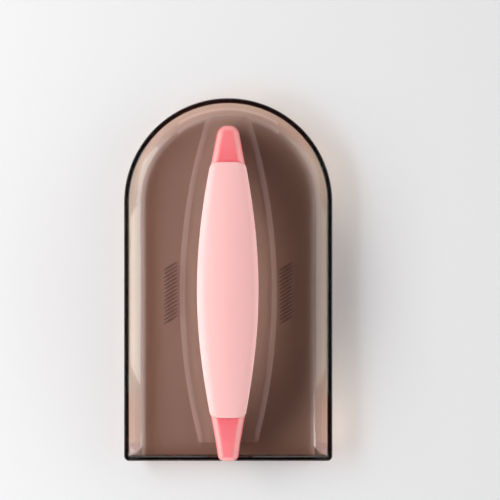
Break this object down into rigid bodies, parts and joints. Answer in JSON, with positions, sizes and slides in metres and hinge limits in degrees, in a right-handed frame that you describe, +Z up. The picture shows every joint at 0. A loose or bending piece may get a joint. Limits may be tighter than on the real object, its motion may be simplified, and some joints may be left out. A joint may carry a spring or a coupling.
{
  "type": "icing smoother",
  "caption": "Flat clear tray with an upswept lip and one square end, pushed over sugar icing by an arched handle with a soft grip.",
  "frame": {"origin": "centre of the bounding box's foot, on the flat smoothing face", "axes": "+Z up from the smoothing face, +Y towards the round end, -Y towards the square end, +X to the right"},
  "size_m": [0.0832, 0.145, 0.0382],
  "materials": {
    "smoke_clear_plastic": "polished, clear smoke brown",
    "coral_plastic": "fine satin",
    "pink_soft_grip": "soft touch, matt"
  },
  "bodies": {
    "root": {"base_plate": "smoke_clear_plastic", "handle_frame": "coral_plastic", "handle_cover": "coral_plastic", "soft_grip": "pink_soft_grip"}
  },
  "joints": []
}
